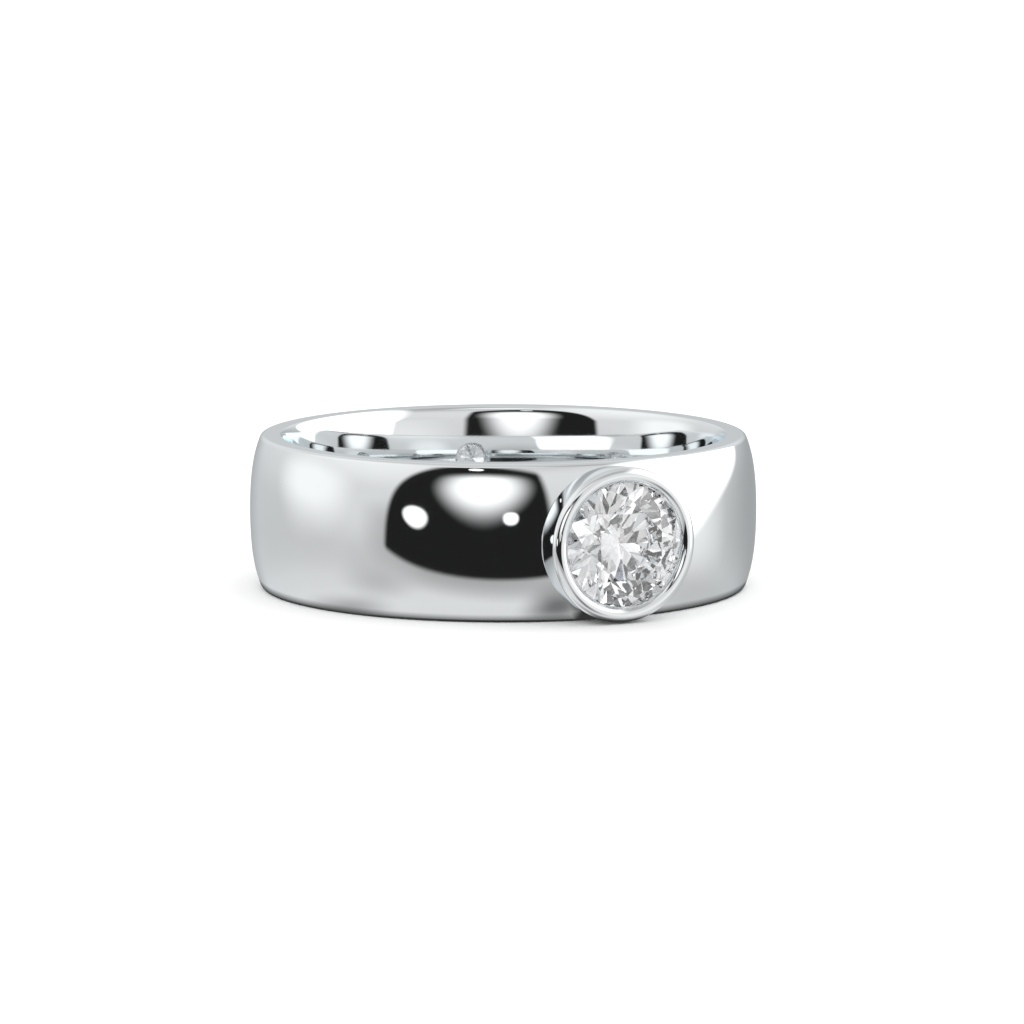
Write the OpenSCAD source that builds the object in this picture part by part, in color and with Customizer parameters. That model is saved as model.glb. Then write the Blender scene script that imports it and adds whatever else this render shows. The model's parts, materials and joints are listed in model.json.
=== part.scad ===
// Bezel set ring: a wide domed band with one round stone in a tube bezel.
// Millimetres. The finger hole runs along Z and the origin is at its centre.
// The stone looks along -Y. Distances "out" are measured from the ring's axis along -Y.

/* [Band] */
// Inside diameter at the middle of the band, a ring size 53
finger_d = 16.8; // [16:0.05:18]
// Width of the band along the finger
band_w = 6; // [6:0.1:7]
// Thickness of the wall at the crown
wall_t = 1.55; // [1.4:0.05:1.7]
// How far the domed outside falls from its crown to the rim
dome_drop = 0.45; // [0.3:0.01:0.5]
// Share of that fall that comes as a plain arc, the rest comes late, near the rim
dome_share = 0.54; // [0.4:0.02:1]
// How far the inside opens from its middle to the rim, the comfort fit
comfort_flare = 0.24; // [0.1:0.01:0.26]
// Half the width of the straight stretch in the middle of the inside
land_half = 0.3; // [0.2:0.1:1.2]
// Rounding of the rim's outer edge
outer_edge_r = 0.2; // [0.1:0.01:0.25]
// Depth of the oval rounding of the rim's inner edge, across the rim
inner_edge = 0.122; // [0.1:0.001:0.15]
// Length of that rounding, down the inside
inner_reach = 0.5; // [0.3:0.05:0.8]

/* [Bezel] */
// Outside diameter of the tube
bezel_d = 5.88; // [5.8:0.01:5.9]
// How far the tube stands out of the band's crown
bezel_rise = 1.02; // [0.95:0.01:1.2]
// Radius of the half-round lip that is closed over the stone
lip_r = 0.3; // [0.28:0.01:0.32]
// How far the tube's wall draws in from the lip to its foot, the waist
waist = 0.1; // [0:0.01:0.15]
// Share of that draw that comes as a plain slope, the rest comes late, near the foot
waist_share = 0.3; // [0:0.05:1]
// How far below the band's crown the wall passes into the solder's fillet
foot_drop = 0.37; // [0.2:0.01:0.38]
// Radius of that fillet between the tube and the band
fillet_r = 0.05; // [0.04:0.01:0.2]
// Diameter of the hole behind the stone, through the band
open_d = 4.1; // [3.6:0.05:4.2]

/* [Stone] */
// Diameter of the round brilliant
stone_d = 4.8; // [4.76:0.01:4.84]
// Table across its corners, as a share of the diameter
table_share = 0.57; // [0.53:0.01:0.62]
// Slope of the crown's main facets
crown_slope = 34.5; // [33:0.5:35]
// Slope of the pavilion's main facets
pavilion_slope = 40.2; // [39:0.1:40.4]
// Thickness of the girdle where it is thickest
girdle_t = 0.13; // [0.12:0.01:0.14]
// Reach of the star facets from the table to the girdle
star_share = 0.5; // [0.45:0.01:0.55]
// Reach of the lower halves from the girdle to the culet
lower_share = 0.77; // [0.74:0.01:0.8]
// Gap between the stone and its seat
seat_gap = 0.03; // [0.02:0.01:0.04]

/* [Hidden] */
finger_r = finger_d / 2;
crown_r = finger_r + wall_t;
half_w = band_w / 2;
dome_steps = 12;
flare_steps = 6;
edge_steps = 5;
oval_steps = 6;
lip_steps = 12;
wall_steps = 6;
fillet_steps = 6;
// Lean at which the fillet runs out on the domed band
fillet_end = 72;
// The tube starts inside the wall, this far from the finger hole
tube_root = 0.55;
tube_in = finger_r + tube_root;
bezel_r = bezel_d / 2;
lip_top = crown_r + bezel_rise;
lip_mid = lip_top - lip_r;
foot_out = crown_r - foot_drop;
wall_l = lip_mid - foot_out;
open_r = open_d / 2;
stone_r = stone_d / 2;
// Where the lip meets the stone's crown, as an angle up from the lip's inner side
grip_angle = 15;
grip_r = bezel_r - lip_r - lip_r * cos(grip_angle);
grip_out = lip_mid + lip_r * sin(grip_angle);
// How far the seat's cone runs on inside the lip, and the blank's filling stays below the lip
overrun = 0.1;
// The girdle's upper and lower edges, at their most outward and inward corners
girdle_top = grip_out - (stone_r - grip_r) * tan(crown_slope) - seat_gap / cos(crown_slope);
girdle_low = girdle_top - girdle_t;
pocket_r = stone_r + seat_gap;
table_r = stone_r * table_share;
// Facets go round in eighths, and each girdle arc in quarters of a half facet
folds = 8;
arc_steps = 4;
girdle_n = folds * 2 * arc_steps;
metal_round = 180;

// Radius of the domed outside at height z
function dome_at(z) =
    let (u = abs(z) / half_w)
    crown_r - dome_drop * (dome_share * pow(u, 2) + (1 - dome_share) * pow(u, 4));

// Lean of the domed outside at height z, in degrees from upright
function dome_lean(z) =
    let (u = abs(z) / half_w)
    atan(dome_drop * (2 * dome_share * u + 4 * (1 - dome_share) * pow(u, 3)) / half_w);

// Radius of the inside at height z: straight in the middle, opening towards the rims
function bore_at(z) =
    finger_r + comfort_flare * pow(max(0, abs(z) - land_half) / (half_w - land_half), 2);

// Height at which a rim's rounding of radius r leaves a wall of that lean
function edge_z(r, lean) = half_w - r * (1 - sin(lean));

// Upper half of the band's section, from the crown round the rim to the inside's land
function band_half() =
    let (
        outer_lean = dome_lean(edge_z(outer_edge_r, dome_lean(half_w - outer_edge_r))),
        outer_z = edge_z(outer_edge_r, outer_lean),
        outer_c = dome_at(outer_z) - outer_edge_r * cos(outer_lean),
        oval_z = half_w - inner_reach
    )
    concat(
        [for (i = [0:dome_steps - 1]) let (z = outer_z * i / dome_steps) [dome_at(z), z]],
        [for (i = [0:edge_steps])
            let (a = outer_lean + (90 - outer_lean) * i / edge_steps)
            [outer_c + outer_edge_r * cos(a), half_w - outer_edge_r + outer_edge_r * sin(a)]],
        [for (i = [0:oval_steps])
            let (a = 90 * (1 - i / oval_steps), z = oval_z + inner_reach * sin(a))
            [bore_at(z) + inner_edge * (1 - cos(a)), z]],
        [for (i = [1:flare_steps])
            let (z = oval_z + (land_half - oval_z) * i / flare_steps)
            [bore_at(z), z]]
    );

// The hoop, as one turned section
module band() {
    upper = band_half();
    lower = [for (i = [len(upper) - 1:-1:1]) [upper[i][0], -upper[i][1]]];
    rotate_extrude($fn = metal_round)
        polygon(concat(upper, lower));
}

// Turns a shape drawn up the Z axis so that it points out along -Y
module outward() {
    rotate([90, 0, 0])
        children();
}

// Radius of the tube's wall, where v goes from 0 at the lip to 1 at the foot
function wall_at(v) = bezel_r - waist * (waist_share * v + (1 - waist_share) * pow(v, 2));

// The bezel's tube with its waist and half-round lip, still without a hollow
module bezel_blank() {
    foot_lean = atan(waist * (2 - waist_share) / wall_l);
    fillet_c = [wall_at(1) + fillet_r * cos(foot_lean), foot_out - fillet_r * sin(foot_lean)];
    fillet = [for (i = [0:fillet_steps])
        let (a = fillet_end - (fillet_end + foot_lean) * i / fillet_steps)
        fillet_c - fillet_r * [cos(a), sin(a)]];
    wall = [for (i = [1:wall_steps - 1])
        let (v = 1 - i / wall_steps)
        [wall_at(v), lip_mid - wall_l * v]];
    lip = [for (i = [0:lip_steps])
        let (a = 180 * i / lip_steps)
        [bezel_r - lip_r + lip_r * cos(a), lip_mid + lip_r * sin(a)]];
    fill_out = lip_mid - overrun;
    outward()
        rotate_extrude($fn = metal_round)
            polygon(concat(
                [[0, tube_in], [fillet[0][0], tube_in]],
                fillet,
                wall,
                lip,
                [[bezel_r - 2 * lip_r, fill_out], [0, fill_out]]
            ));
}

// The hollow for the stone and the hole behind it, through to the finger
module stone_seat() {
    seat_low = girdle_low - seat_gap / cos(pavilion_slope);
    mouth_r = grip_r - overrun;
    mouth_out = grip_out + overrun * tan(crown_slope);
    outward()
        rotate_extrude($fn = metal_round)
            polygon([
                [0, finger_r - 1],
                [open_r, finger_r - 1],
                [open_r, seat_low - (pocket_r - open_r) * tan(pavilion_slope)],
                [pocket_r, seat_low],
                [pocket_r, grip_out - (pocket_r - grip_r) * tan(crown_slope)],
                [mouth_r, mouth_out],
                [mouth_r, lip_top + 1],
                [0, lip_top + 1]
            ]);
}

// Band and bezel are soldered, so they are one solid
module band_with_bezel() {
    color("silver")
        difference() {
            union() {
                band();
                bezel_blank();
            }
            stone_seat();
        }
}

// Point on a circle, at azimuth a and height z
function ring_point(r, a, z) = [r * cos(a), r * sin(a), z];

// Height at (x, y) of the plane through three points
function plane_z(p, q, s, x, y) =
    let (n = cross(q - p, s - p))
    p[2] - (n[0] * (x - p[0]) + n[1] * (y - p[1])) / n[2];

// Girdle edge: where the half facets' planes meet the girdle's wall
function girdle_edge(tip_r, tip_z, edge_z) =
    let (step = 360 / girdle_n, half = 180 / folds)
    [for (j = [0:girdle_n - 1])
        let (
            a = j * step,
            first = floor(a / half) * half,
            odd = floor(a / half) % 2,
            tip_a = first + (odd == 0 ? half : 0),
            p = ring_point(stone_r, first, edge_z),
            q = ring_point(stone_r, first + half, edge_z),
            s = ring_point(tip_r, tip_a, tip_z),
            x = stone_r * cos(a),
            y = stone_r * sin(a)
        )
        [x, y, plane_z(p, q, s, x, y)]];

// The round brilliant: table, 8 stars, 8 kites and 16 halves above the girdle,
// 16 halves and 8 mains below it
module brilliant() {
    half = 180 / folds;
    crown_h = (stone_r - table_r) * tan(crown_slope);
    pavilion_h = stone_r * tan(pavilion_slope);
    table_edge = table_r * cos(half);
    star_r = table_edge + star_share * (stone_r - table_edge);
    star_z = girdle_top + (stone_r - star_r * cos(half)) * tan(crown_slope);
    lower_r = stone_r * (1 - lower_share);
    lower_z = girdle_low - (stone_r - lower_r * cos(half)) * tan(pavilion_slope);

    table = [for (i = [0:folds - 1]) ring_point(table_r, 2 * half * i, girdle_top + crown_h)];
    stars = [for (i = [0:folds - 1]) ring_point(star_r, 2 * half * i + half, star_z)];
    edge_up = girdle_edge(star_r, star_z, girdle_top);
    edge_down = girdle_edge(lower_r, lower_z, girdle_low);
    lowers = [for (i = [0:folds - 1]) ring_point(lower_r, 2 * half * i + half, lower_z)];
    culet = [[0, 0, girdle_low - pavilion_h]];

    // First index of each group of points
    at_star = folds;
    at_up = 2 * folds;
    at_down = at_up + girdle_n;
    at_lower = at_down + girdle_n;
    at_culet = at_lower + folds;
    turn = 2 * arc_steps;

    faces = concat(
        [[for (i = [folds - 1:-1:0]) i]],
        [for (i = [0:folds - 1]) [i, (i + 1) % folds, at_star + i]],
        [for (i = [0:folds - 1])
            [i, at_star + i, at_up + turn * i, at_star + (i + folds - 1) % folds]],
        [for (i = [0:folds - 1], k = [0, 1])
            concat(
                [at_star + i],
                [for (j = [arc_steps:-1:0])
                    at_up + (turn * i + arc_steps * k + j) % girdle_n]
            )],
        [for (j = [0:girdle_n - 1])
            let (m = (j + 1) % girdle_n)
            [at_up + j, at_up + m, at_down + m, at_down + j]],
        [for (i = [0:folds - 1], k = [0, 1])
            concat(
                [at_lower + i],
                [for (j = [0:arc_steps])
                    at_down + (turn * i + arc_steps * k + j) % girdle_n]
            )],
        [for (i = [0:folds - 1])
            [at_culet, at_lower + (i + folds - 1) % folds, at_down + turn * i, at_lower + i]]
    );
    polyhedron(points = concat(table, stars, edge_up, edge_down, lowers, culet), faces = faces);
}

// The stone in its place, turned so that an edge of the table lies along the band's lower rim
module stone() {
    color([0.88, 0.93, 1.0, 0.6])
        outward()
            rotate([0, 0, 180 / folds])
                brilliant();
}

band_with_bezel();
stone();
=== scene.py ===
import json
import math
from contextlib import contextmanager
from typing import NamedTuple

import bmesh
import bpy
import numpy as np
from bpy.props import FloatProperty, FloatVectorProperty, IntProperty, PointerProperty
from bpy.types import Operator, Panel, PropertyGroup
from mathutils import Matrix, Vector


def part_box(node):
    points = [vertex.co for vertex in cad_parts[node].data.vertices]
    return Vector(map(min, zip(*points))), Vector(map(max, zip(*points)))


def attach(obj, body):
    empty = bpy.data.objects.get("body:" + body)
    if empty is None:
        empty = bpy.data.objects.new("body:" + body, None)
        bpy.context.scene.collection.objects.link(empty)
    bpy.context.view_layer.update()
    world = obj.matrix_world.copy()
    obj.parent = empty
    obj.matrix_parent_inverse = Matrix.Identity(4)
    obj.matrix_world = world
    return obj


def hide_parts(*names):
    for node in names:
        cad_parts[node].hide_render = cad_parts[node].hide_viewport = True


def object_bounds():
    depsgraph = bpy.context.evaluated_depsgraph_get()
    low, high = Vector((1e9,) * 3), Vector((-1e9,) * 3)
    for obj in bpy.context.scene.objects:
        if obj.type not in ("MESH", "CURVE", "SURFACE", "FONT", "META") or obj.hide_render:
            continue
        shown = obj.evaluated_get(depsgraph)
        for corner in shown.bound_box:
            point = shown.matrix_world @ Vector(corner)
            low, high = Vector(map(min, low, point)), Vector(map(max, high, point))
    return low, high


bl_info = {
    "name": "Bezel set ring",
    "version": (1, 0, 0),
    "blender": (4, 5, 0),
    "location": "3D View > Sidebar > Ring",
    "description": "Makes a wide domed finger ring with one round brilliant in a tube bezel",
    "category": "Add Mesh",
}

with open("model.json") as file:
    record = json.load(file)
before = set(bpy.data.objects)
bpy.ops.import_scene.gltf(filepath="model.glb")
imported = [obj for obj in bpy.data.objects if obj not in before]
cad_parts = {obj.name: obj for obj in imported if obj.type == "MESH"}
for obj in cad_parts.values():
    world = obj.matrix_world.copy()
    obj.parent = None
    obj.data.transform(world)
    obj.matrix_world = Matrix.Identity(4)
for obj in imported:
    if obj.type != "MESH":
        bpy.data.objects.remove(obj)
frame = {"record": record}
CAD_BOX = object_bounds()
MM = 0.001
# A length that counts as nothing, and the distance within which a mesh's points are joined
TINY = 1e-6 * MM
WELD = 1e-4 * MM

# Sizes that the frame gives. The finger hole runs along Z and the stone looks along -Y,
# so "out" is a distance from the ring's axis along -Y.
METAL_LOW, METAL_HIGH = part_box("band_with_bezel")
STONE_LOW, STONE_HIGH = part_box("stone")
FINGER_HOLE = next(m for m in frame["record"]["mounts"] if m["name"] == "finger_hole")


def in_steps(length, step=0.01 * MM):
    """A length from the frame's mesh, rounded to a hundredth of a millimetre."""
    return round(length / step) * step


def to_linear(code):
    """Turns an sRGB hex colour such as #C0C4C8 into linear values, by the sRGB standard's curve."""
    parts = [int(code[i : i + 2], 16) / 255 for i in (1, 3, 5)]
    return tuple(c / 12.92 if c <= 0.04045 else ((c + 0.055) / 1.055) ** 2.4 for c in parts)


class RingBand(PropertyGroup):
    """Sizes of the domed hoop"""

    width: FloatProperty(
        name="Width",
        description="Width of the band along the finger",
        default=in_steps(METAL_HIGH.z - METAL_LOW.z),
        unit="LENGTH",
    )
    crown_radius: FloatProperty(
        name="Crown radius",
        description="Radius of the outside where the dome is highest",
        default=in_steps(METAL_HIGH.x),
        unit="LENGTH",
    )
    finger_radius: FloatProperty(
        name="Finger radius",
        description="Radius of the inside at the middle of the band",
        default=FINGER_HOLE["dims"]["r_mm"] * MM,
        unit="LENGTH",
    )
    dome_drop: FloatProperty(
        name="Dome drop",
        description="How far the outside falls from its crown to the rim",
        default=0.45 * MM,
        unit="LENGTH",
    )
    dome_share: FloatProperty(
        name="Dome share",
        description="Share of the drop that is a plain arc. The rest comes late, near the rim",
        default=0.54,
        subtype="FACTOR",
    )
    comfort_flare: FloatProperty(
        name="Comfort flare",
        description="How far the inside opens from its middle to the rim",
        default=0.24 * MM,
        unit="LENGTH",
    )
    land_half: FloatProperty(
        name="Half land",
        description="Half the width of the straight stretch in the middle of the inside",
        default=FINGER_HOLE["dims"]["length_mm"] / 2 * MM,
        unit="LENGTH",
    )
    outer_edge: FloatProperty(
        name="Outer edge",
        description="Rounding of the rim's outer edge",
        default=0.2 * MM,
        unit="LENGTH",
    )
    inner_edge: FloatProperty(
        name="Inner edge",
        description="Depth of the oval rounding of the rim's inner edge, across the rim",
        default=0.122 * MM,
        unit="LENGTH",
    )
    inner_reach: FloatProperty(
        name="Inner reach",
        description="Length of that oval rounding, down the inside",
        default=0.5 * MM,
        unit="LENGTH",
    )
    steps_round: IntProperty(
        name="Steps round",
        description="Number of flat steps that the hoop is turned in",
        default=288,
        min=48,
    )


class RingBezel(PropertyGroup):
    """Sizes of the tube bezel and of the seat in it"""

    tube_radius: FloatProperty(
        name="Tube radius",
        description="Outside radius of the tube",
        default=2.94 * MM,
        unit="LENGTH",
    )
    lip_out: FloatProperty(
        name="Lip height",
        description="Top of the lip, from the ring's axis",
        default=in_steps(-METAL_LOW.y),
        unit="LENGTH",
    )
    lip_radius: FloatProperty(
        name="Lip radius",
        description="Radius of the half-round lip that is closed over the stone",
        default=0.3 * MM,
        unit="LENGTH",
    )
    waist: FloatProperty(
        name="Waist",
        description="How far the tube's wall draws in from the lip to its foot",
        default=0.1 * MM,
        unit="LENGTH",
    )
    waist_share: FloatProperty(
        name="Waist share",
        description="Share of that draw that is a plain slope. The rest comes late, near the foot",
        default=0.3,
        subtype="FACTOR",
    )
    foot_drop: FloatProperty(
        name="Foot drop",
        description="How far below the band's crown the wall passes into the solder's fillet",
        default=0.37 * MM,
        unit="LENGTH",
    )
    fillet: FloatProperty(
        name="Fillet",
        description="Radius of the solder's fillet between the tube and the band",
        default=0.05 * MM,
        unit="LENGTH",
    )
    grip_angle: FloatProperty(
        name="Grip angle",
        description="Where the lip meets the stone, as an angle up from the lip's inner side",
        default=math.radians(15),
        subtype="ANGLE",
    )
    root: FloatProperty(
        name="Root",
        description="How far from the finger hole the tube starts, inside the band's metal",
        default=0.55 * MM,
        unit="LENGTH",
    )
    open_radius: FloatProperty(
        name="Opening radius",
        description="Radius of the hole behind the stone, through to the finger",
        default=2.05 * MM,
        unit="LENGTH",
    )
    seat_gap: FloatProperty(
        name="Seat gap",
        description="Gap between the stone and its seat",
        default=0.03 * MM,
        unit="LENGTH",
    )
    steps_round: IntProperty(
        name="Steps round",
        description="Number of flat steps that the tube is turned in",
        default=192,
        min=48,
    )


class RingStone(PropertyGroup):
    """Proportions of the round brilliant"""

    radius: FloatProperty(
        name="Radius",
        description="Radius of the girdle",
        default=in_steps(STONE_HIGH.x - STONE_LOW.x) / 2,
        unit="LENGTH",
    )
    table_out: FloatProperty(
        name="Table height",
        description="Level of the table, from the ring's axis",
        default=-STONE_LOW.y,
        unit="LENGTH",
    )
    table_share: FloatProperty(
        name="Table share",
        description="Table across its corners, as a share of the diameter",
        default=0.57,
        subtype="FACTOR",
    )
    crown_slope: FloatProperty(
        name="Crown slope",
        description="Slope of the crown's main facets",
        default=math.radians(34.5),
        subtype="ANGLE",
    )
    pavilion_slope: FloatProperty(
        name="Pavilion slope",
        description="Slope of the pavilion's main facets",
        default=math.radians(40.2),
        subtype="ANGLE",
    )
    girdle: FloatProperty(
        name="Girdle",
        description="Thickness of the girdle where it is thickest",
        default=0.13 * MM,
        unit="LENGTH",
    )
    star_share: FloatProperty(
        name="Star share",
        description="Reach of the star facets from the table to the girdle",
        default=0.5,
        subtype="FACTOR",
    )
    lower_share: FloatProperty(
        name="Lower half share",
        description="Reach of the lower halves from the girdle to the culet",
        default=0.77,
        subtype="FACTOR",
    )
    folds: IntProperty(
        name="Folds",
        description="How often the pattern of facets repeats round the stone",
        default=8,
        min=8,
        max=8,
    )
    arc_steps: IntProperty(
        name="Arc steps",
        description="Number of flat steps in the girdle's arc under one half facet",
        default=8,
        min=2,
    )


class RingLooks(PropertyGroup):
    """Colours of the metal, the stone and the table top"""

    metal: FloatVectorProperty(
        name="Metal",
        description="Colour of the polished white gold",
        default=to_linear("#EEF1F2"),
        size=3,
        subtype="COLOR",
    )
    metal_shade: FloatVectorProperty(
        name="Metal shade",
        description="Colour of the white gold where the plating is a little thinner",
        default=to_linear("#EAECED"),
        size=3,
        subtype="COLOR",
    )
    metal_edge: FloatVectorProperty(
        name="Metal edge",
        description="Tint of the white gold where it is seen at a grazing angle",
        default=to_linear("#F9FDFF"),
        size=3,
        subtype="COLOR",
    )
    stone: FloatVectorProperty(
        name="Stone",
        description="Colour of the clear stone",
        default=to_linear("#FFFFFF"),
        size=3,
        subtype="COLOR",
    )
    stone_shade: FloatVectorProperty(
        name="Stone shade",
        description="Colour of the stone in its faint growth bands",
        default=to_linear("#FBFCFF"),
        size=3,
        subtype="COLOR",
    )
    floor: FloatVectorProperty(
        name="Floor",
        description="Colour of the table top",
        default=to_linear("#FAFAFA"),
        size=3,
        subtype="COLOR",
    )


# Sockets of a Mix node: the share, the two numbers or the two colours, and the mixed colour
MIX_SHARE, NUMBER_A, NUMBER_B, COLOUR_A, COLOUR_B = 0, 2, 3, 6, 7
MIXED_COLOUR = 2


def add_node(tree, kind, inputs=None, **settings):
    """Adds a node, sets it, and fills its inputs: a socket, or another node's first output, is
    linked, and anything else is a value."""
    node = tree.nodes.new(kind)
    for name, value in settings.items():
        setattr(node, name, value)
    for key, value in (inputs or {}).items():
        if isinstance(value, bpy.types.Node):
            value = value.outputs[0]
        if isinstance(value, bpy.types.NodeSocket):
            tree.links.new(value, node.inputs[key])
        else:
            node.inputs[key].default_value = value
    return node


def shared_group(name, build):
    """A node group of the file, built first where it isn't there yet."""
    return bpy.data.node_groups.get(name) or build(name)


def start_group(name, kind, inputs, output):
    """A node group with its sockets, and what its input node gives. An input is a name, a sort
    and, for a size, its default. The output is a name and a sort."""
    tree = bpy.data.node_groups.new(name, kind)
    for side, sockets in (("INPUT", inputs), ("OUTPUT", (output,))):
        for label, sort, *default in sockets:
            sort = "NodeSocket" + sort
            made = tree.interface.new_socket(name=label, in_out=side, socket_type=sort)
            if default:
                made.default_value = default[0]
    return tree, add_node(tree, "NodeGroupInput").outputs


def end_modifier(tree, geometry, finish):
    """Ends a Geometry Nodes tree: instances made real, and the finish put on."""
    tree.is_modifier = True
    real = add_node(tree, "GeometryNodeRealizeInstances", {"Geometry": geometry})
    dressed = add_node(tree, "GeometryNodeSetMaterial", {"Geometry": real, "Material": finish})
    add_node(tree, "NodeGroupOutput", {0: dressed})
    return tree


def new_material(name):
    """An empty node material and its tree."""
    material = bpy.data.materials.get(name) or bpy.data.materials.new(name)
    material.use_nodes = True
    material.node_tree.nodes.clear()
    return material, material.node_tree


def polished_white_gold(looks):
    """White gold, 18 carat, rhodium plated and mirror polished on felt and cotton wheels.
    The eye sees crisp mirror images, a hair softer where the wheel's haze lies."""
    material, tree = new_material("polished_white_gold")
    place = add_node(tree, "ShaderNodeTexCoord").outputs["Object"]
    # Wheel haze about 2 mm across: the polish varies a little from place to place. The noise
    # keeps between 0.3 and 0.7 almost everywhere.
    grain = {"Vector": place, "Scale": 1 / (2 * MM), "Detail": 3.0}
    haze = add_node(tree, "ShaderNodeTexNoise", grain)
    roughness = add_node(
        tree,
        "ShaderNodeMapRange",
        {"Value": haze, "From Min": 0.3, "From Max": 0.7, "To Min": 0.02, "To Max": 0.05},
    )
    tones = {MIX_SHARE: haze, COLOUR_A: (*looks.metal, 1), COLOUR_B: (*looks.metal_shade, 1)}
    colour = add_node(tree, "ShaderNodeMix", tones, data_type="RGBA")
    # Ripple left by the hand that held the ring to the wheel, 4 mm from crest to crest
    waves = {"Vector": place, "Scale": 1 / (4 * MM), "Detail": 0.0}
    ripple = add_node(tree, "ShaderNodeTexNoise", waves)
    relief = {"Height": ripple, "Strength": 0.1, "Distance": 0.005 * MM}
    bump = add_node(tree, "ShaderNodeBump", relief)
    shader = add_node(
        tree,
        "ShaderNodeBsdfPrincipled",
        {
            "Base Color": colour.outputs[MIXED_COLOUR],
            "Metallic": 1.0,
            "Specular Tint": (*looks.metal_edge, 1),
            "Roughness": roughness,
            "Normal": bump,
        },
    )
    add_node(tree, "ShaderNodeOutputMaterial", {"Surface": shader})
    return material


def cut_diamond(looks):
    """Diamond, cut and polished as a round brilliant, of a fine white colour.
    The eye sees bright and dark facets that trade places as the stone turns."""
    material, tree = new_material("cut_diamond")
    place = add_node(tree, "ShaderNodeTexCoord").outputs["Object"]
    # Growth bands, about 1 mm apart and faint
    growth = {"Vector": place, "Scale": 1 / MM, "Detail": 1.0}
    bands = add_node(tree, "ShaderNodeTexNoise", growth)
    tones = {MIX_SHARE: bands, COLOUR_A: (*looks.stone, 1), COLOUR_B: (*looks.stone_shade, 1)}
    colour = add_node(tree, "ShaderNodeMix", tones, data_type="RGBA")
    shader = add_node(
        tree,
        "ShaderNodeBsdfPrincipled",
        {
            "Base Color": colour.outputs[MIXED_COLOUR],
            "Roughness": 0.0,
            # Diamond's own refraction
            "IOR": 2.417,
            "Transmission Weight": 1.0,
        },
    )
    add_node(tree, "ShaderNodeOutputMaterial", {"Surface": shader})
    return material


# A section is a list of (radius, height, facing) round its outline, where facing is the
# angle of the outward normal, from 0 along the radius to 90 degrees up the axis. A sharp
# corner has the same place twice, with two facings.


def dome_at(z, band):
    """Radius of the domed outside at height z."""
    u = abs(z) / (band.width / 2)
    fall = band.dome_share * u**2 + (1 - band.dome_share) * u**4
    return band.crown_radius - band.dome_drop * fall


def dome_lean(z, band):
    """Lean of the domed outside at height z."""
    half = band.width / 2
    u = abs(z) / half
    slope = 2 * band.dome_share * u + 4 * (1 - band.dome_share) * u**3
    return math.atan(band.dome_drop * slope / half)


def bore_at(z, band):
    """Radius of the inside at height z: straight in the middle, opening towards the rims."""
    span = band.width / 2 - band.land_half
    return band.finger_radius + band.comfort_flare * (max(0.0, abs(z) - band.land_half) / span) ** 2


def bore_slope(z, band):
    """Slope of the inside at height z."""
    span = band.width / 2 - band.land_half
    return 2 * band.comfort_flare * max(0.0, abs(z) - band.land_half) / span**2


def edge_z(radius, lean, band):
    """Height at which a rim's rounding leaves a wall of that lean."""
    return band.width / 2 - radius * (1 - math.sin(lean))


def hoop_section(band):
    """Closed outline of the band: up the dome, over the rim, down the inside, and mirrored."""
    dome_steps, edge_steps, bore_steps = 24, 12, 20
    half = band.width / 2
    outer, inner, reach = band.outer_edge, band.inner_edge, band.inner_reach
    # The dome's lean where the rounding takes over from it, found in two steps
    outer_lean = dome_lean(edge_z(outer, dome_lean(half - outer, band), band), band)
    outer_z = edge_z(outer, outer_lean, band)
    outer_c = dome_at(outer_z, band) - outer * math.cos(outer_lean)
    oval_z = half - reach
    upper = []
    for i in range(dome_steps):
        z = outer_z * i / dome_steps
        upper.append((dome_at(z, band), z, dome_lean(z, band)))
    for i in range(edge_steps + 1):
        a = outer_lean + (math.pi / 2 - outer_lean) * i / edge_steps
        upper.append((outer_c + outer * math.cos(a), half - outer + outer * math.sin(a), a))
    for i in range(edge_steps + 1):
        a = math.pi / 2 * (1 - i / edge_steps)
        z = oval_z + reach * math.sin(a)
        rise = inner * math.sin(a) + bore_slope(z, band) * reach * math.cos(a)
        facing = math.pi - math.atan2(rise, reach * math.cos(a))
        upper.append((bore_at(z, band) + inner * (1 - math.cos(a)), z, facing))
    for i in range(1, bore_steps + 1):
        z = oval_z + (band.land_half - oval_z) * i / bore_steps
        upper.append((bore_at(z, band), z, math.pi - math.atan(bore_slope(z, band))))
    lower = [(r, -z, -a) for r, z, a in reversed(upper[1:])]
    return upper + lower


def grip(bezel):
    """Radius and level at which the lip meets the stone's crown."""
    lip_mid = bezel.lip_out - bezel.lip_radius
    return (
        bezel.tube_radius - bezel.lip_radius * (1 + math.cos(bezel.grip_angle)),
        lip_mid + bezel.lip_radius * math.sin(bezel.grip_angle),
    )


def girdle_top(stone):
    """Level of the girdle's upper edge at its corners."""
    return stone.table_out - stone.radius * (1 - stone.table_share) * math.tan(stone.crown_slope)


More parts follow.
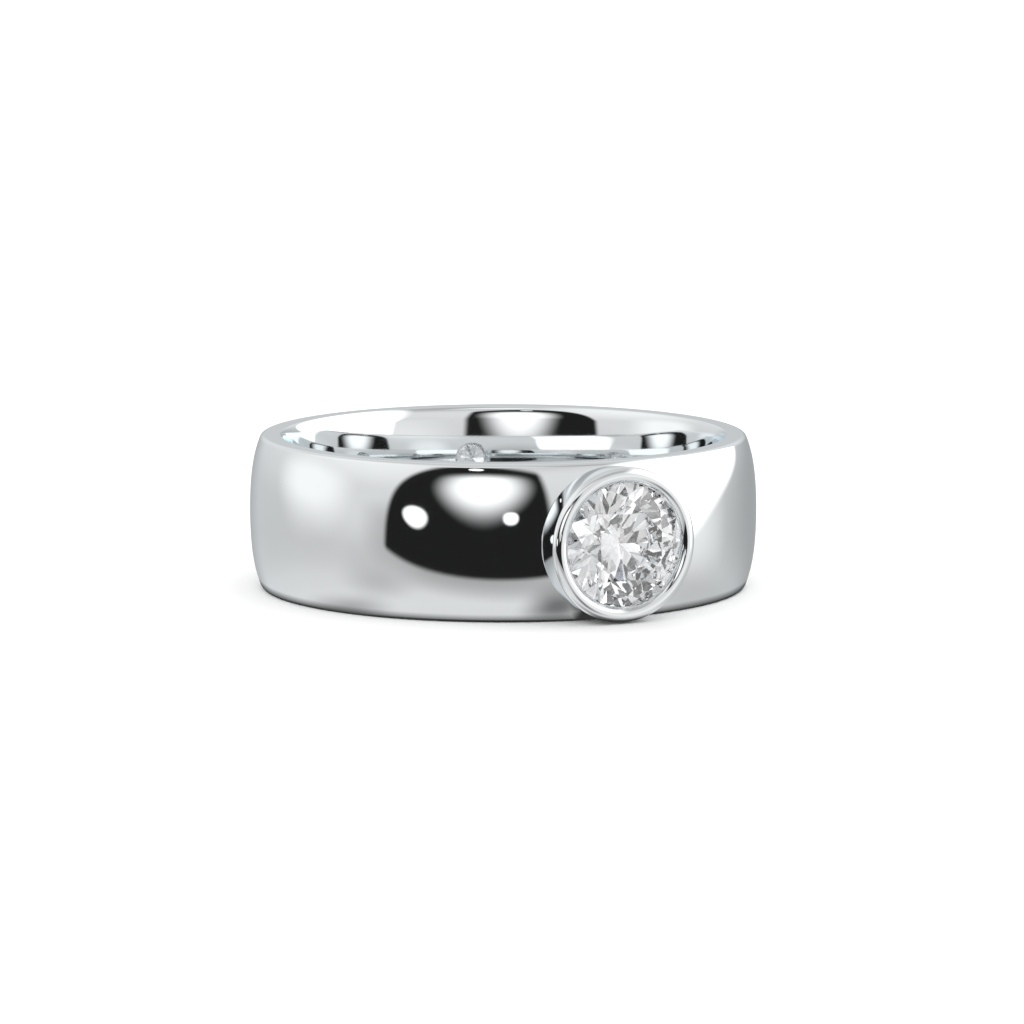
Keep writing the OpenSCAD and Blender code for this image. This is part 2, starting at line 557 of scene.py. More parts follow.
def bezel_section(band, bezel):
    """Outline of the filled tube with its foot, waist and half-round lip, from axis to axis."""
    fillet_steps, wall_steps, lip_steps = 16, 24, 32
    up, down, out, back = math.pi / 2, -math.pi / 2, 0.0, math.pi
    # The lean at which the fillet runs out on the domed band
    fillet_end = math.radians(72)
    start = band.finger_radius + bezel.root
    lip_mid = bezel.lip_out - bezel.lip_radius
    lip_c = bezel.tube_radius - bezel.lip_radius
    # The tube is filled to a level below the lip's middle. The hollow takes the fill away again
    fill = lip_mid - bezel.lip_radius / 3
    foot = band.crown_radius - bezel.foot_drop
    wall = lip_mid - foot
    plain = bezel.waist * bezel.waist_share
    late = bezel.waist * (1 - bezel.waist_share)
    foot_lean = math.atan((plain + 2 * late) / wall)
    fillet_c = bezel.tube_radius - bezel.waist + bezel.fillet * math.cos(foot_lean)
    fillet_out = foot - bezel.fillet * math.sin(foot_lean)
    skirt = fillet_c - bezel.fillet * math.cos(fillet_end)
    section = [(0.0, start, down), (skirt, start, down), (skirt, start, out)]
    section.append((skirt, fillet_out - bezel.fillet * math.sin(fillet_end), out))
    for i in range(fillet_steps):
        a = fillet_end - (fillet_end + foot_lean) * i / fillet_steps
        away, down_by = bezel.fillet * math.cos(a), bezel.fillet * math.sin(a)
        section.append((fillet_c - away, fillet_out - down_by, a))
    for i in range(wall_steps + 1):
        v = 1 - i / wall_steps
        lean = math.atan((plain + 2 * late * v) / wall)
        section.append((bezel.tube_radius - plain * v - late * v * v, lip_mid - wall * v, -lean))
    for i in range(lip_steps + 1):
        a = math.pi * i / lip_steps
        away, up_by = bezel.lip_radius * math.cos(a), bezel.lip_radius * math.sin(a)
        section.append((lip_c + away, lip_mid + up_by, a))
    inside = lip_c - bezel.lip_radius
    section += [(inside, fill, back), (inside, fill, up), (0.0, fill, up)]
    return section


def seat_section(band, bezel, stone):
    """Outline of the hollow for the stone and of the hole behind it, from axis to axis."""
    gap = bezel.seat_gap
    # How far the hollow runs past the lip's grip, and past the finger hole and the lip's top
    overrun = bezel.lip_radius / 3
    clear = 1 * MM
    grip_r, grip_out = grip(bezel)
    crown, pavilion = math.tan(stone.crown_slope), math.tan(stone.pavilion_slope)
    pocket = stone.radius + gap
    seat_low = girdle_top(stone) - stone.girdle - gap / math.cos(stone.pavilion_slope)
    points = [
        (0.0, band.finger_radius - clear),
        (bezel.open_radius, band.finger_radius - clear),
        (bezel.open_radius, seat_low - (pocket - bezel.open_radius) * pavilion),
        (pocket, seat_low),
        (pocket, grip_out - (pocket - grip_r) * crown),
        (grip_r - overrun, grip_out + overrun * crown),
        (grip_r - overrun, bezel.lip_out + clear),
        (0.0, bezel.lip_out + clear),
    ]
    section = []
    for (r0, h0), (r1, h1) in zip(points, points[1:]):
        facing = math.atan2(r0 - r1, h1 - h0)
        section += [(r0, h0, facing), (r1, h1, facing)]
    return section


def turning_tree(name):
    """Geometry Nodes that turn a section about the Z axis, as a lathe does."""
    inputs = (
        ("Section", "Geometry"),
        ("Steps round", "Int", 192),
        ("Turning radius", "Float", 10 * MM),
        ("Weld distance", "Float", 0.001 * MM),
        ("Finish", "Material"),
    )
    tree, given = start_group(name, "GeometryNodeTree", inputs, ("Turned", "Geometry"))
    # The section lies in the XZ plane. It is laid down in XY and set back by the turning
    # radius, so that the sweep along a circle of that radius brings it back to its place.
    line = add_node(tree, "GeometryNodeMeshToCurve", {"Mesh": given["Section"]})
    flat = {"Geometry": line, "Rotation": (math.pi / 2, 0.0, 0.0)}
    laid = add_node(tree, "GeometryNodeTransform", flat)
    away = {0: given["Turning radius"], 1: -1.0}
    back = add_node(tree, "ShaderNodeMath", away, operation="MULTIPLY")
    shift = add_node(tree, "ShaderNodeCombineXYZ", {"X": back})
    set_back = add_node(tree, "GeometryNodeTransform", {"Geometry": laid, "Translation": shift})
    path = {"Resolution": given["Steps round"], "Radius": given["Turning radius"]}
    circle = add_node(tree, "GeometryNodeCurvePrimitiveCircle", path)
    sweep = {"Curve": circle, "Profile Curve": set_back}
    swept = add_node(tree, "GeometryNodeCurveToMesh", sweep)
    loose = {"Geometry": swept, "Distance": given["Weld distance"]}
    welded = add_node(tree, "GeometryNodeMergeByDistance", loose)
    smooth = add_node(tree, "GeometryNodeSetShadeSmooth", {"Geometry": welded})
    return end_modifier(tree, smooth, given["Finish"])


def add_object(name, data):
    """Puts a mesh or a camera into the scene under a name."""
    made = bpy.data.objects.new(name, data)
    bpy.context.scene.collection.objects.link(made)
    return made


def drop_object(made):
    """Takes a helper object out of the file."""
    mesh = made.data
    bpy.data.objects.remove(made)
    bpy.data.meshes.remove(mesh)


def bake_modifiers(made):
    """Replaces an object's mesh by its evaluated one and removes its modifiers."""
    evaluated = made.evaluated_get(bpy.context.evaluated_depsgraph_get())
    mesh = bpy.data.meshes.new_from_object(evaluated)
    made.modifiers.clear()
    old = made.data
    made.data = mesh
    mesh.name = made.name
    bpy.data.meshes.remove(old)


@contextmanager
def edited(mesh):
    """Opens a mesh for editing, and puts what was changed back into it."""
    work = bmesh.new()
    work.from_mesh(mesh)
    yield work
    work.to_mesh(mesh)
    work.free()


def set_inputs(modifier, values):
    """Sets a Geometry Nodes modifier's inputs by name, through their identifiers."""
    for item in modifier.node_group.interface.items_tree:
        if item.item_type == "SOCKET" and item.in_out == "INPUT" and item.name in values:
            modifier[item.identifier] = values[item.name]


def turn(name, section, closed, steps, finish):
    """Turns a section about Z and gives the object."""
    places = []
    for r, z, _ in section:
        if not places or math.dist(places[-1], (r, 0.0, z)) > TINY:
            places.append((r, 0.0, z))
    count = len(places)
    edges = [(i, i + 1) for i in range(count - 1)] + ([(count - 1, 0)] if closed else [])
    mesh = bpy.data.meshes.new(name)
    mesh.from_pydata(places, edges, [])
    made = add_object(name, mesh)
    lathe = made.modifiers.new("lathe", "NODES")
    lathe.node_group = shared_group("Turned section", turning_tree)
    set_inputs(lathe, {"Steps round": steps, "Finish": finish})
    bake_modifiers(made)
    with edited(made.data) as work:
        bmesh.ops.recalc_face_normals(work, faces=work.faces)
    return made


# Turns a shape drawn up the Z axis so that it points out along -Y
OUTWARD = Matrix.Rotation(math.pi / 2, 4, "X")


def read_vectors(items, name):
    """One vector of each of a mesh's items, as rows of an array."""
    flat = np.empty(len(items) * 3)
    items.foreach_get(name, flat)
    return flat.reshape(-1, 3)


def section_steps(section, closed):
    """Starts and ends of a section's steps, with facings that go the short way round."""
    points = np.array(section + (section[:1] if closed else []))
    start, end = points[:-1], points[1:]
    real = np.hypot(*(end - start)[:, :2].T) > TINY
    start, end = start[real], end[real]
    end[:, 2] = start[:, 2] + (end[:, 2] - start[:, 2] + math.pi) % math.tau - math.pi
    return start, end


def nearest_steps(centres, normals, turned):
    """For each face, the turned surface nearest to it and the step of its section. Of two that
    are equally near, it is the one that faces the same way."""
    # What a face that faces the wrong way counts as further off
    facing_weight = 0.05 * MM
    best = np.full(len(centres), np.inf)
    picked = np.zeros((len(centres), 2), int)
    for which, (section, closed, matrix) in enumerate(turned):
        start, end = section_steps(section, closed)
        spin = np.array(matrix.to_3x3())
        local, facing = centres @ spin, normals @ spin
        radius = np.hypot(local[:, 0], local[:, 1])
        outwards = (facing[:, :2] * local[:, :2]).sum(1) / np.maximum(radius, TINY)
        for k in range(len(start)):
            along = end[k, :2] - start[k, :2]
            away = np.stack([radius, local[:, 2]], 1) - start[k, :2]
            t = np.clip(away @ along / (along @ along), 0, 1)
            off = np.hypot(*(away - t[:, None] * along).T)
            a = (start[k, 2] + end[k, 2]) / 2
            match = np.abs(outwards * math.cos(a) + facing[:, 2] * math.sin(a))
            cost = off + facing_weight * (1 - match)
            better = cost < best
            best[better] = cost[better]
            picked[better] = which, k
    return picked


def polish(mesh, turned):
    """Gives every face corner the exact normal of the turned surface that the face lies on.
    turned is a list of (section, closed, matrix), and matrix takes Z to the axis of turning."""
    normals = read_vectors(mesh.polygons, "normal")
    picked = nearest_steps(read_vectors(mesh.polygons, "center"), normals, turned)
    sizes = [len(face.vertices) for face in mesh.polygons]
    owner = np.repeat(np.arange(len(sizes)), sizes)
    places = read_vectors(mesh.vertices, "co")[[loop.vertex_index for loop in mesh.loops]]
    result = np.zeros_like(places)
    for which, (section, closed, matrix) in enumerate(turned):
        mine = np.flatnonzero(picked[owner, 0] == which)
        spin = np.array(matrix.to_3x3())
        local = places[mine] @ spin
        start, end = (side[picked[owner[mine], 1]] for side in section_steps(section, closed))
        radius = np.maximum(np.hypot(local[:, 0], local[:, 1]), TINY)
        along = end[:, :2] - start[:, :2]
        away = np.stack([radius, local[:, 2]], 1) - start[:, :2]
        t = np.clip((away * along).sum(1) / (along * along).sum(1), 0, 1)
        a = start[:, 2] + t * (end[:, 2] - start[:, 2])
        out = np.cos(a) / radius
        facing = np.stack([out * local[:, 0], out * local[:, 1], np.sin(a)], 1) @ spin.T
        side = np.sign((facing * normals[owner[mine]]).sum(1))
        result[mine] = facing * side[:, None]
    mesh.normals_split_custom_set(result.tolist())


class RING_OT_hoop(Operator):
    """Turn the domed, comfort-fit hoop"""

    bl_idname = "ring.hoop"
    bl_label = "Turn the hoop"

    def execute(self, context):
        scene = context.scene
        finish = polished_white_gold(scene.ring_looks)
        band = scene.ring_band
        turn("hoop", hoop_section(band), True, band.steps_round, finish)
        return {"FINISHED"}


class RING_OT_bezel(Operator):
    """Turn the bezel's tube with its lip, and the hollow that will be cut for the stone"""

    bl_idname = "ring.bezel"
    bl_label = "Turn the bezel"

    def execute(self, context):
        scene = context.scene
        finish = polished_white_gold(scene.ring_looks)
        band, bezel, stone = scene.ring_band, scene.ring_bezel, scene.ring_stone
        for name, section in (
            ("bezel_blank", bezel_section(band, bezel)),
            ("seat_cutter", seat_section(band, bezel, stone)),
        ):
            made = turn(name, section, False, bezel.steps_round, finish)
            made.data.transform(OUTWARD)
        return {"FINISHED"}


class RING_OT_solder(Operator):
    """Solder the bezel to the hoop, cut the seat and polish the whole"""

    bl_idname = "ring.solder"
    bl_label = "Solder, bore and polish"

    def execute(self, context):
        scene = context.scene
        band, bezel, stone = scene.ring_band, scene.ring_bezel, scene.ring_stone
        parts = [bpy.data.objects.get(name) for name in ("hoop", "bezel_blank", "seat_cutter")]
        if None in parts:
            raise RuntimeError("turn the hoop and the bezel first")
        hoop, blank, cutter = parts
        for name, operation, other in (("solder", "UNION", blank), ("bore", "DIFFERENCE", cutter)):
            step = hoop.modifiers.new(name, "BOOLEAN")
            step.operation = operation
            step.solver = "EXACT"
            step.object = other
        bake_modifiers(hoop)
        drop_object(blank)
        drop_object(cutter)
        with edited(hoop.data) as work:
            bmesh.ops.remove_doubles(work, verts=work.verts, dist=WELD)
            bmesh.ops.dissolve_degenerate(work, edges=work.edges, dist=WELD)
        hoop.name = hoop.data.name = "domed_band_and_bezel"
        polish(
            hoop.data,
            [
                (hoop_section(band), True, Matrix.Identity(4)),
                (bezel_section(band, bezel), False, OUTWARD),
                (seat_section(band, bezel, stone), False, OUTWARD),
            ],
        )
        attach(hoop, "root")
        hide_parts("band_with_bezel")
        return {"FINISHED"}


def plane_level(p, q, s, x, y):
    """Height at (x, y) of the plane through three points."""
    n = (q - p).cross(s - p)
    return p.z - (n.x * (x - p.x) + n.y * (y - p.y)) / n.z


def eighth_of_brilliant(stone):
    """Points and faces of one eighth of the brilliant, from one star facet's middle to the next,
    so that it holds one whole kite, two upper halves, two lower halves and one main."""
    half = math.pi / stone.folds
    radius = stone.radius
    table_r = radius * stone.table_share
    top = girdle_top(stone)
    low = top - stone.girdle
    table_edge = table_r * math.cos(half)
    star_r = table_edge + stone.star_share * (radius - table_edge)
    star_z = top + (radius - star_r * math.cos(half)) * math.tan(stone.crown_slope)
    lower_r = radius * (1 - stone.lower_share)
    lower_z = low - (radius - lower_r * math.cos(half)) * math.tan(stone.pavilion_slope)
    culet_z = low - radius * math.tan(stone.pavilion_slope)

    def at(r, a, z):
        return Vector((r * math.cos(a), r * math.sin(a), z))

    points, faces = [], []

    def add(*places):
        faces.append(list(range(len(points), len(points) + len(places))))
        points.extend(places)

    table_mid = at(0.0, 0.0, stone.table_out)
    corner = at(table_r, 0.0, stone.table_out)
    culet = at(0.0, 0.0, culet_z)
    edges = {}
    for side in (-1, 1):
        star = at(star_r, side * half, star_z)
        lower = at(lower_r, side * half, lower_z)
        table_cut = at(table_edge, side * half, stone.table_out)
        near, far = at(radius, 0.0, top), at(radius, side * half, top)
        near_low, far_low = at(radius, 0.0, low), at(radius, side * half, low)
        rim_up, rim_down = [], []
        for j in range(stone.arc_steps + 1):
            a = side * half * j / stone.arc_steps
            x, y = radius * math.cos(a), radius * math.sin(a)
            rim_up.append(Vector((x, y, plane_level(near, far, star, x, y))))
            rim_down.append(Vector((x, y, plane_level(near_low, far_low, lower, x, y))))
        edges[side] = star, lower
        # Half an eighth of the table, half a star, an upper half, a lower half and the girdle
        add(table_mid, corner, table_cut)
        add(corner, star, table_cut)
        add(star, *rim_up)
        add(lower, *rim_down)
        for j in range(stone.arc_steps):
            add(rim_up[j], rim_up[j + 1], rim_down[j + 1], rim_down[j])
    # The kite and the pavilion's main, which lie across the eighth's middle
    add(corner, edges[-1][0], at(radius, 0.0, top), edges[1][0])
    add(culet, edges[-1][1], at(radius, 0.0, low), edges[1][1])
    return [tuple(p) for p in points], faces


def folding_tree(name):
    """Geometry Nodes that repeat a wedge round the Z axis and weld the wedges into one body."""
    inputs = (
        ("Wedge", "Geometry"),
        ("Folds", "Int", 8),
        ("Weld distance", "Float", 0.0005 * MM),
        ("Finish", "Material"),
    )
    tree, given = start_group(name, "GeometryNodeTree", inputs, ("Stone", "Geometry"))
    centre = add_node(tree, "GeometryNodePoints", {"Count": given["Folds"]})
    number = add_node(tree, "GeometryNodeInputIndex")
    part = {0: number, 1: given["Folds"]}
    share = add_node(tree, "ShaderNodeMath", part, operation="DIVIDE")
    angle = add_node(tree, "ShaderNodeMath", {0: share, 1: math.tau}, operation="MULTIPLY")
    spin = add_node(tree, "ShaderNodeCombineXYZ", {"Z": angle})
    wedges = {"Points": centre, "Instance": given["Wedge"], "Rotation": spin}
    placed = add_node(tree, "GeometryNodeInstanceOnPoints", wedges)
    real = add_node(tree, "GeometryNodeRealizeInstances", {"Geometry": placed})
    loose = {"Geometry": real, "Distance": given["Weld distance"]}
    welded = add_node(tree, "GeometryNodeMergeByDistance", loose)
    return end_modifier(tree, welded, given["Finish"])


class RING_OT_stone(Operator):
    """Cut the round brilliant and set it in its seat"""

    bl_idname = "ring.stone"
    bl_label = "Cut the stone"

    def execute(self, context):
        scene = context.scene
        stone = scene.ring_stone
        points, faces = eighth_of_brilliant(stone)
        mesh = bpy.data.meshes.new("round_brilliant")
        mesh.from_pydata(points, [], faces)
        made = add_object("round_brilliant", mesh)
        fold = made.modifiers.new("fold", "NODES")
        fold.node_group = shared_group("Wedges round an axis", folding_tree)
        set_inputs(fold, {"Folds": stone.folds, "Finish": cut_diamond(scene.ring_looks)})
        bake_modifiers(made)
        # Faces of one facet lie in a plane, and are joined across the edges between them
        in_plane = math.radians(0.05)
        with edited(made.data) as work:
            bmesh.ops.dissolve_limit(work, angle_limit=in_plane, verts=work.verts, edges=work.edges)
            bmesh.ops.recalc_face_normals(work, faces=work.faces)
        made.data.shade_flat()
        # One edge of the table is level, on the side of the band's lower rim
        made.data.transform(OUTWARD @ Matrix.Rotation(math.pi / stone.folds, 4, "Z"))
        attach(made, "root")
        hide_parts("stone")
        return {"FINISHED"}


# The photograph's viewpoint: where it lies from the ring, the point that it looks at, and its
# lens with the sensor's width, both in millimetres
VIEW_AZIMUTH = math.radians(-25.05)
VIEW_ELEVATION = math.radians(8.105)
VIEW_DISTANCE = 206.06 * MM
VIEW_AIM = Vector((0.314, -0.147, -0.141)) * MM
VIEW_LENS = 184.1
VIEW_SENSOR = 36.0


def direction(azimuth, elevation):
    """A unit direction from two angles in radians. Azimuth is 0 towards the photograph's viewpoint
    and rises to its right."""
    turned = VIEW_AZIMUTH + azimuth
    return Vector(
        (
            math.sin(turned) * math.cos(elevation),
            -math.cos(turned) * math.cos(elevation),
            math.sin(elevation),
        )
    )


def panel_tree(name):
    """A group that says how much of a studio panel lies in a direction. The panel is flat and
    one metre away, square to Ahead, so its sizes and its shift are tangents of angles."""
    inputs = [(label, "Vector") for label in ("Direction", "Ahead", "Right", "Up")]
    for label in ("Shift right", "Shift up", "Half width", "Half height", "Squareness", "Softness"):
        inputs.append((label, "Float"))
    tree, given = start_group(name, "ShaderNodeTree", inputs, ("Share", "Float"))
    toward = {0: given["Direction"], 1: given["Ahead"]}
    ahead = add_node(tree, "ShaderNodeVectorMath", toward, operation="DOT_PRODUCT")
    ahead = ahead.outputs["Value"]
    # Never zero, so that a direction square to Ahead can be divided by it
    safe = add_node(tree, "ShaderNodeMath", {0: ahead, 1: 0.001}, operation="MAXIMUM")
    parts = []
    sides = (("Right", "Shift right", "Half width"), ("Up", "Shift up", "Half height"))
    for axis, shift, size in sides:
        along = {0: given["Direction"], 1: given[axis]}
        value = add_node(tree, "ShaderNodeVectorMath", along, operation="DOT_PRODUCT")
        value = value.outputs["Value"]
        for operation, other in (
            ("DIVIDE", safe),
            ("SUBTRACT", given[shift]),
            ("DIVIDE", given[size]),
            ("ABSOLUTE", 0.0),
            ("POWER", given["Squareness"]),
        ):
            value = add_node(tree, "ShaderNodeMath", {0: value, 1: other}, operation=operation)
        parts.append(value)
    both = add_node(tree, "ShaderNodeMath", dict(enumerate(parts)), operation="ADD")
    root = add_node(tree, "ShaderNodeMath", {0: 1.0, 1: given["Squareness"]}, operation="DIVIDE")
    total = add_node(tree, "ShaderNodeMath", {0: both, 1: root}, operation="POWER")
    inner = add_node(tree, "ShaderNodeMath", {0: 1.0, 1: given["Softness"]}, operation="SUBTRACT")
    outer = add_node(tree, "ShaderNodeMath", {0: 1.0, 1: given["Softness"]}, operation="ADD")
    edge = add_node(
        tree,
        "ShaderNodeMapRange",
        {"Value": total, "From Min": inner, "From Max": outer, "To Min": 1.0, "To Max": 0.0},
        interpolation_type="SMOOTHSTEP",
    )
    front = add_node(tree, "ShaderNodeMath", {0: ahead, 1: 0.0}, operation="GREATER_THAN")
    share = add_node(tree, "ShaderNodeMath", {0: edge, 1: front}, operation="MULTIPLY")
    add_node(tree, "NodeGroupOutput", {"Share": share})
    return tree


# The bare room, from straight down to straight up: elevation in degrees and grey
ROOM = (
    (-90, 0.32),
    (-78, 0.45),
    (-68, 0.70),
    (-58, 0.88),
    (-45, 0.80),
    (-36, 0.82),
    (-26, 0.80),
    (-18, 0.76),
    (-13, 0.68),
    (-9, 0.64),
    (-4, 0.66),
    (2, 0.74),
    (10, 0.79),
    (20, 0.83),
    (30, 0.83),
    (45, 0.78),
    (60, 0.66),
    (75, 0.71),
    (90, 0.74),
)


class Outline(NamedTuple):
    """Outline of a studio panel. Sizes and shifts are tangents of angles seen from the ring."""

    azimuth: float  # degrees from the viewpoint, rising to its right
    elevation: float  # degrees
    half_size: tuple  # half its width and half its height
    soft: float  # how far the edge is soft, inwards and outwards, as a share of the size
    square: float = 2.4  # 2 for an ellipse, more for squarer corners
    shift: tuple = (0.0, 0.0)  # right and up
    tilt: float = 0.0  # degrees by which its right end is raised


# Studio panels, painted one over the other: name, grey, and one outline, or more that overlap
PANELS = (
    ("lamp, upper left", 1.05, Outline(-80, 42, (0.75, 0.40), 0.8, square=2.0)),
    ("wall, left", 0.80, Outline(-70, 1, (0.37, 0.15), 0.7)),
    ("soft light, left", 1.10, Outline(-98, 6, (0.36, 0.19), 0.6)),
    (
        "shade below the black panel",
        0.42,
        Outline(0, 0, (1.15, 0.23), 1.0, square=3.0, shift=(-0.42, -0.31), tilt=-4),
    ),
    ("shade, lower left", 0.57, Outline(-60, -20, (0.24, 0.13), 1.0, square=2.0)),
    ("shadow of the bezel", 0.20, Outline(28.5, -38, (0.175, 0.22), 0.9)),
    ("floor's shade, left", 0.46, Outline(-90, -38, (0.30, 0.12), 0.9)),
    ("far wall, right", 0.42, Outline(164, -8, (0.70, 0.26), 0.8)),
    ("white wall, right", 0.98, Outline(70, -9, (0.85, 0.30), 0.5, square=3.0)),
    ("grey ceiling, right", 0.50, Outline(42, 52, (0.45, 0.28), 0.7)),
    ("low wall, right", 0.60, Outline(114, -28, (0.75, 0.22), 0.8)),
    (
        "softbox, right",
        1.60,
        Outline(105, 30, (0.895, 1.13), 0.04, square=8.0, shift=(-0.195, 0.45), tilt=19.2),
        Outline(112, 10, (1.3, 1.05), 0.25, square=3.0),
    ),
    (
        "black panel",
        0.016,
        Outline(0, 0, (1.045, 1.085), 0.07, square=2.5, shift=(-0.21, -0.40), tilt=-20),
        Outline(0, 0, (4.45, 1.19), 0.025, square=2.0, shift=(0.0, 0.833)),
        Outline(0, 0, (1.2, 3.0), 0.035, square=12.0, shift=(-0.812, 0.0), tilt=7.5),
    ),
    (
        "round glow",
        1.40,
        Outline(-8.8, 16.5, (0.295, 0.257), 0.55, square=2.0),
        Outline(-8.8, 0, (1.0, 0.525), 0.16, square=4.0),
    ),
    ("left lamp", 1.60, Outline(-39.75, -0.7, (0.100, 0.065), 0.22, square=2.0, tilt=-12)),
    ("right lamp", 1.60, Outline(3.5, -0.5, (0.058, 0.041), 0.25, square=2.3)),
    ("top lamp", 1.60, Outline(-13.5, 33.5, (0.055, 0.02), 0.15, square=2.3)),
    ("strip of light, top", 1.20, Outline(6, 47, (0.30, 0.06), 0.6, square=3.0)),
)


def panel_share(tree, look, outline):
    """How much of one outline lies in the direction looked in."""
    azimuth, elevation = math.radians(outline.azimuth), math.radians(outline.elevation)
    tilt = math.radians(outline.tilt)
    ahead = direction(azimuth, elevation)
    level = direction(azimuth + math.pi / 2, 0.0)
    upright = ahead.cross(level)
    values = {
        "Direction": look,
        "Ahead": ahead,
        "Right": math.cos(tilt) * level + math.sin(tilt) * upright,
        "Up": math.cos(tilt) * upright - math.sin(tilt) * level,
        "Shift right": outline.shift[0],
        "Shift up": outline.shift[1],
        "Half width": outline.half_size[0],
        "Half height": outline.half_size[1],
        "Squareness": outline.square,
        "Softness": outline.soft,
    }
    panel = shared_group("Studio panel", panel_tree)
    return add_node(tree, "ShaderNodeGroup", values, node_tree=panel)


def studio_tree(name):
    """A group that gives the studio's grey in a direction: the bare room, then the panels."""
    tree, given = start_group(name, "ShaderNodeTree", [("Direction", "Vector")], ("Grey", "Float"))
    straight = {0: given["Direction"]}
    look = add_node(tree, "ShaderNodeVectorMath", straight, operation="NORMALIZE")
    height = add_node(tree, "ShaderNodeSeparateXYZ", {0: look}).outputs["Z"]
    # The ramp runs from straight down to straight up
    level = add_node(tree, "ShaderNodeMapRange", {"Value": height, "From Min": -1.0})
    room = add_node(tree, "ShaderNodeValToRGB", {"Fac": level})
    stops = room.color_ramp.elements
    # A new stop may start anywhere, because each gets its own place below
    while len(stops) < len(ROOM):
        stops.new(0.5)
    for stop, (elevation, grey) in zip(stops, ROOM):
        stop.position = (1 + math.sin(math.radians(elevation))) / 2
        stop.color = (grey, grey, grey, 1)
    shade = room.outputs["Color"]
    for title, grey, *outlines in PANELS:
        share = panel_share(tree, look, outlines[0])
        for outline in outlines[1:]:
            both = {0: share, 1: panel_share(tree, look, outline)}
            share = add_node(tree, "ShaderNodeMath", both, operation="MULTIPLY")
        painted = {MIX_SHARE: share, NUMBER_A: shade, NUMBER_B: grey}
        shade = add_node(tree, "ShaderNodeMix", painted, label=title)
    add_node(tree, "NodeGroupOutput", {"Grey": shade})
    return tree


# Shift of red light's direction on its way out of the stone, with blue shifted as far the other
# way, and the share of the light that is shifted
FIRE = Vector((0.005, 0.004, -0.005))
FIRE_SHARE = 0.15
# Strength of the plain white that the eye sees and that lights the table top
WHITE_STRENGTH = 1.32


def studio_world(scene):
    """Plain white for the eye and the table top, and the panels for what mirrors and refracts."""
    world = bpy.data.worlds.new("studio")
    world.use_nodes = True
    world.cycles.sampling_method = "NONE"
    tree = world.node_tree
    tree.nodes.clear()
    look = add_node(tree, "ShaderNodeTexCoord").outputs["Generated"]
    path = add_node(tree, "ShaderNodeLightPath").outputs
    studio = shared_group("Studio", studio_tree)
    # The stone's fire: rays that leave it see the studio a little apart for red, green and blue
    greys = []
    for side in (1, 0, -1):
        bend = {0: side * FIRE, "Scale": path["Is Transmission Ray"]}
        shift = add_node(tree, "ShaderNodeVectorMath", bend, operation="SCALE")
        bent = add_node(tree, "ShaderNodeVectorMath", {0: look, 1: shift}, operation="ADD")
        greys.append(add_node(tree, "ShaderNodeGroup", {0: bent}, node_tree=studio))
    bent_light = add_node(tree, "ShaderNodeCombineColor", dict(enumerate(greys)))
    fire = {MIX_SHARE: FIRE_SHARE, COLOUR_A: greys[1], COLOUR_B: bent_light}
    colour = add_node(tree, "ShaderNodeMix", fire, data_type="RGBA")
    panels = add_node(tree, "ShaderNodeBackground", {"Color": colour.outputs[MIXED_COLOUR]})
    lit = {"Color": (1, 1, 1, 1), "Strength": WHITE_STRENGTH}
    white = add_node(tree, "ShaderNodeBackground", lit)
    rays = {0: path["Is Camera Ray"], 1: path["Is Diffuse Ray"]}
    plain = add_node(tree, "ShaderNodeMath", rays, operation="ADD", use_clamp=True)
    chosen = add_node(tree, "ShaderNodeMixShader", {0: plain, 1: panels, 2: white})
    add_node(tree, "ShaderNodeOutputWorld", {"Surface": chosen})
    scene.world = world


def matt_table_top(looks):
    """Matt white table top. The eye sees the ring's soft shadow on it. For the metal's mirror
    it is clear, and shows the studio's lower half with a painted contact shadow that darkens it
    close to the ring."""
    material, tree = new_material("matt_white_table_top")
    paint = {"Base Color": (*looks.floor, 1), "Roughness": 1.0, "Specular IOR Level": 0.0}
    matt = add_node(tree, "ShaderNodeBsdfPrincipled", paint)
    # Painted contact shadow for the mirror, from ambient occlusion: within half a millimetre of
    # the ring the mirrored studio darkens, to a twentieth where 0.36 of what is round a point is
    # open, and not at all where 0.88 of it is
    near = add_node(tree, "ShaderNodeAmbientOcclusion", {"Distance": 0.5 * MM})
    openness = {"Value": near.outputs["AO"], "From Min": 0.36, "From Max": 0.88, "To Min": 0.05}
    shade = add_node(tree, "ShaderNodeMapRange", openness)
    clear = add_node(tree, "ShaderNodeBsdfTransparent", {"Color": shade})
    mirrored = add_node(tree, "ShaderNodeLightPath").outputs["Is Glossy Ray"]
    shader = add_node(tree, "ShaderNodeMixShader", {0: mirrored, 1: matt, 2: clear})
    add_node(tree, "ShaderNodeOutputMaterial", {"Surface": shader})
    return material


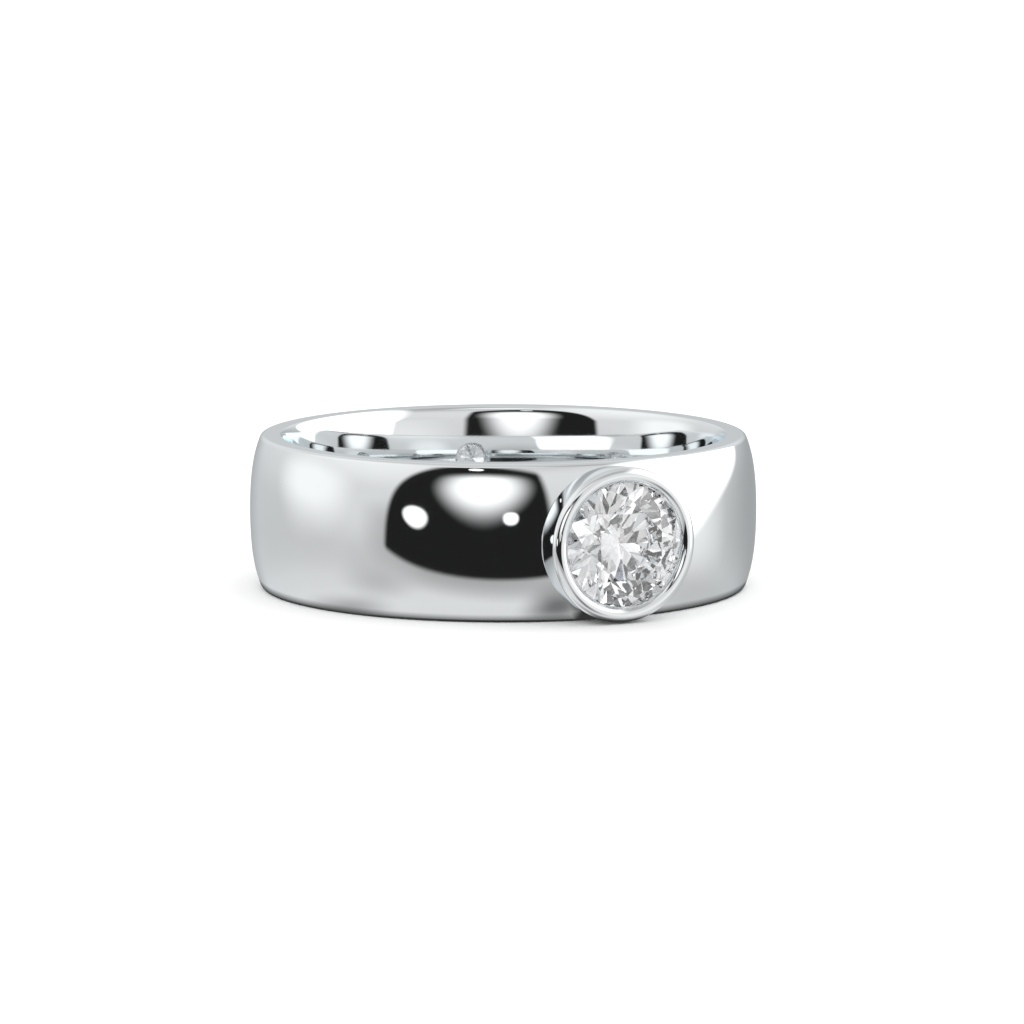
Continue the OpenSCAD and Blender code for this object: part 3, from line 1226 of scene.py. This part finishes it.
class RING_OT_stage(Operator):
    """Lay the pale floor, light the studio and place the camera"""

    bl_idname = "ring.stage"
    bl_label = "Set the stage"

    def execute(self, context):
        scene = context.scene
        # The table top reaches far out of the picture on each side
        reach = 1200 * MM
        level = CAD_BOX[0].z
        corners = [(reach * x, reach * y, level) for x, y in ((-1, -1), (1, -1), (1, 1), (-1, 1))]
        mesh = bpy.data.meshes.new("table_top")
        mesh.from_pydata(corners, [], [(0, 1, 2, 3)])
        mesh.materials.append(matt_table_top(scene.ring_looks))
        floor = add_object("table_top", mesh)
        # The stone looks through the table top at the studio below
        floor.visible_transmission = False
        studio_world(scene)
        lens = bpy.data.cameras.new("camera")
        lens.lens = VIEW_LENS
        lens.sensor_width = VIEW_SENSOR
        lens.clip_start = 10 * MM
        lens.clip_end = 10000 * MM
        camera = add_object("camera", lens)
        away = direction(0.0, VIEW_ELEVATION)
        camera.location = VIEW_AIM + away * VIEW_DISTANCE
        camera.rotation_euler = (-away).to_track_quat("-Z", "Y").to_euler()
        scene.camera = camera
        scene.view_settings.view_transform = "Standard"
        scene.cycles.use_denoising = True
        # Enough bounces for light to leave the stone and the inside of the ring
        scene.cycles.max_bounces = 32
        scene.cycles.glossy_bounces = 12
        scene.cycles.transmission_bounces = 24
        return {"FINISHED"}


class RING_PT_sizes(Panel):
    """Sizes, colours and steps of the ring"""

    bl_idname = "RING_PT_sizes"
    bl_label = "Bezel set ring"
    bl_space_type = "VIEW_3D"
    bl_region_type = "UI"
    bl_category = "Ring"

    def draw(self, context):
        layout = self.layout
        for name in SETTINGS:
            group = getattr(context.scene, name)
            box = layout.box()
            for key in type(group).__annotations__:
                box.prop(group, key)
        for maker in OPERATORS:
            layout.operator(maker.bl_idname)


SETTINGS = {
    "ring_band": RingBand,
    "ring_bezel": RingBezel,
    "ring_stone": RingStone,
    "ring_looks": RingLooks,
}
OPERATORS = (RING_OT_hoop, RING_OT_bezel, RING_OT_solder, RING_OT_stone, RING_OT_stage)


def register():
    """Makes the settings, the operators and the panel known to Blender."""
    for part in (*SETTINGS.values(), *OPERATORS, RING_PT_sizes):
        bpy.utils.register_class(part)
    for name, group in SETTINGS.items():
        setattr(bpy.types.Scene, name, PointerProperty(type=group))


def unregister():
    """Takes them out again."""
    for name in SETTINGS:
        delattr(bpy.types.Scene, name)
    for part in reversed((*SETTINGS.values(), *OPERATORS, RING_PT_sizes)):
        bpy.utils.unregister_class(part)


def main():
    register()
    bpy.ops.ring.hoop()
    bpy.ops.ring.bezel()
    bpy.ops.ring.solder()
    bpy.ops.ring.stone()
    bpy.ops.ring.stage()


if __name__ == "__main__":
    main()
